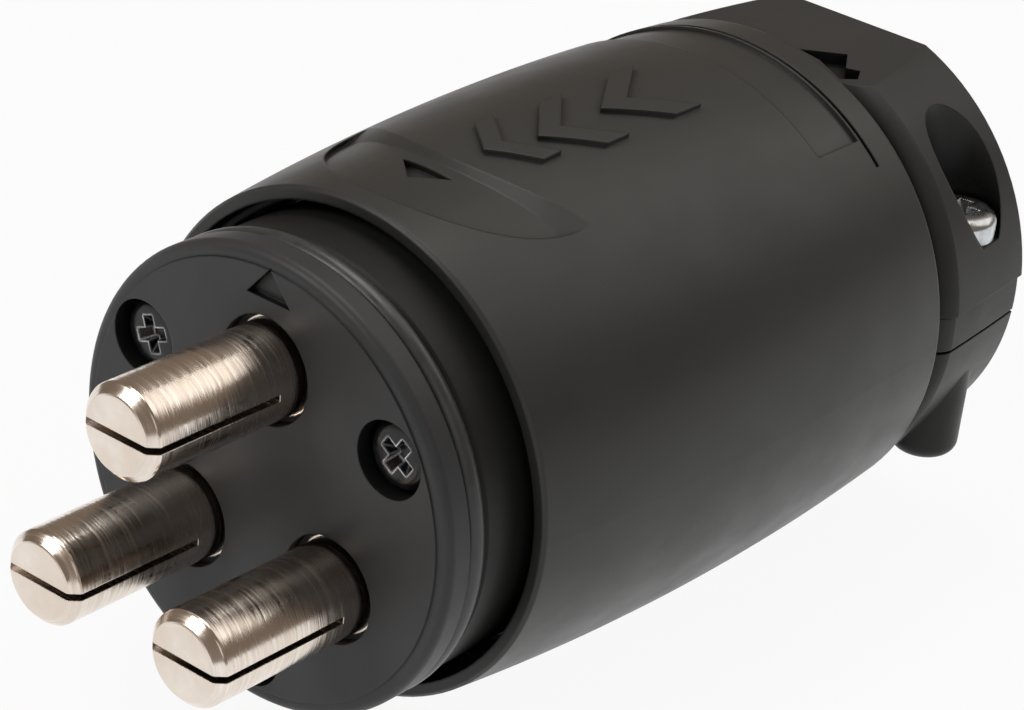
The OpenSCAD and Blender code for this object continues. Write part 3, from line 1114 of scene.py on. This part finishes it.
LAMPS = (
    SoftBox("key", (-0.3, -0.62, 0.6), 0.45, 3.7, (1.0, 0.99, 0.965)),
    SoftBox("rear", (0.25, 0.66, 0.57), 0.6, 1.5, (1.0, 0.98, 0.945)),
    SoftBox("top", (-0.12, 0.2, 0.9), 0.5, 3.7, (1.0, 0.98, 0.945)),
    SoftBox("right", (0.7, -0.42, 0.42), 0.5, 0.7, (0.98, 0.98, 1.0)),
)


@dataclass
class Studio:
    """Pale floor, soft lamps, plain surroundings and the camera."""

    azimuth_deg: float = 38.24
    elevation_deg: float = 27.21
    roll_deg: float = 5.17
    distance: float = 0.3016
    lens_mm: float = 125.94
    sensor_mm: float = 36.0
    nearest: float = 0.01
    target: Point = (0.0, 0.03054, 0.00093)
    fill: float = 0.12
    fill_colour: Colour = (0.96, 0.98, 1.0)
    mirror_fill: float = 0.42
    mirror_colour: Colour = (0.5, 0.4, 0.32)
    floor_half: float = 3.0
    floor_colour: Colour = (0.66, 0.66, 0.66)
    floor_roughness: float = 0.9
    floor_seen: float = 0.93
    floor_mirrored: float = 0.95
    mirror_floor: float = 1.1

    def build(self, floor_z: float) -> None:
        """Builds the whole studio.

        Args:
            floor_z: the height of the floor.
        """
        self.set_camera()
        self.set_world()
        self.lay_floor(floor_z)
        target = Vector(self.target)
        for lamp in LAMPS:
            lamp.build(target)
        bpy.context.scene.view_settings.view_transform = "Standard"
        LOG.info("studio built, floor at %.4f m", floor_z)

    def set_camera(self) -> None:
        """Sets the camera at the chosen angle."""
        azimuth = math.radians(self.azimuth_deg)
        elevation = math.radians(self.elevation_deg)
        away = Vector(
            (
                math.cos(elevation) * math.sin(azimuth),
                -math.cos(elevation) * math.cos(azimuth),
                math.sin(elevation),
            )
        )
        camera = bpy.data.cameras.new("camera")
        camera.lens = self.lens_mm
        camera.sensor_width = self.sensor_mm
        camera.sensor_fit = "HORIZONTAL"
        camera.clip_start = self.nearest
        holder = bpy.data.objects.new("camera", camera)
        bpy.context.scene.collection.objects.link(holder)
        look = (-away).to_track_quat("-Z", "Y").to_matrix().to_4x4()
        roll = Matrix.Rotation(math.radians(self.roll_deg), 4, "Z")
        spot = Matrix.Translation(Vector(self.target) + away * self.distance)
        holder.matrix_world = spot @ look @ roll
        bpy.context.scene.camera = holder

    def set_world(self) -> None:
        """Sets dim even light, another for mirrors, and white where the camera looks past."""
        world = bpy.data.worlds.new("studio")
        bpy.context.scene.world = world
        world.use_nodes = True
        tree = world.node_tree
        path = tree.nodes.new("ShaderNodeLightPath")
        shader = tree.nodes["Background"]
        shader.inputs["Color"].default_value = (*self.fill_colour, 1.0)
        shader.inputs["Strength"].default_value = self.fill
        for ray, colour, strength in (
            ("Is Glossy Ray", self.mirror_colour, self.mirror_fill),
            ("Is Camera Ray", WHITE, 1.0),
        ):
            other = tree.nodes.new("ShaderNodeBackground")
            other.inputs["Color"].default_value = (*colour, 1.0)
            other.inputs["Strength"].default_value = strength
            mix = tree.nodes.new("ShaderNodeMixShader")
            tree.links.new(path.outputs[ray], mix.inputs[0])
            tree.links.new(shader.outputs[0], mix.inputs[1])
            tree.links.new(other.outputs[0], mix.inputs[2])
            shader = mix
        tree.links.new(shader.outputs[0], tree.nodes["World Output"].inputs["Surface"])

    def lay_floor(self, floor_z: float) -> None:
        """Lays the pale floor, which looks white and bright but keeps the plug's shadow.

        Args:
            floor_z: its height.
        """
        Workshop.clear()
        bpy.ops.mesh.primitive_plane_add(size=2 * self.floor_half, location=(0, 0, floor_z))
        floor = bpy.context.object
        floor.name = "studio_floor"
        bench = NodeBench("floor_white")
        bench.shader.inputs["Base Color"].default_value = (*self.floor_colour, 1.0)
        bench.shader.inputs["Roughness"].default_value = self.floor_roughness
        path = bench.add("LightPath")
        surface = bench.shader
        for ray, share, strength in (
            ("Is Camera Ray", self.floor_seen, 1.0),
            ("Is Glossy Ray", self.floor_mirrored, self.mirror_floor),
        ):
            glow = bench.add("Emission", Strength=strength)
            part = bench.add("Math", operation="MULTIPLY")
            part.inputs[1].default_value = share
            mix = bench.add("MixShader")
            bench.join(path.outputs[ray], part.inputs[0])
            bench.join(part.outputs[0], mix.inputs[0])
            bench.join(surface.outputs[0], mix.inputs[1])
            bench.join(glow.outputs[0], mix.inputs[2])
            surface = mix
        output = bench.tree.nodes["Material Output"]
        bench.join(surface.outputs[0], output.inputs["Surface"])
        floor.data.materials.append(bench.material)
        floor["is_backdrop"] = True


def main() -> None:
    """Builds the dressed plug and its studio."""
    logging.basicConfig(level=logging.INFO, format="%(name)s: %(message)s")
    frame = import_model()
    cad_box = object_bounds()
    Studio().build(cad_box[0][2])
    finishes = Finishes()
    MouldedHousing(finishes).build(frame["nodes"])
    Contacts(finishes).build(frame["nodes"])
    ScrewSet(finishes).build()


if __name__ == "__main__":
    main()
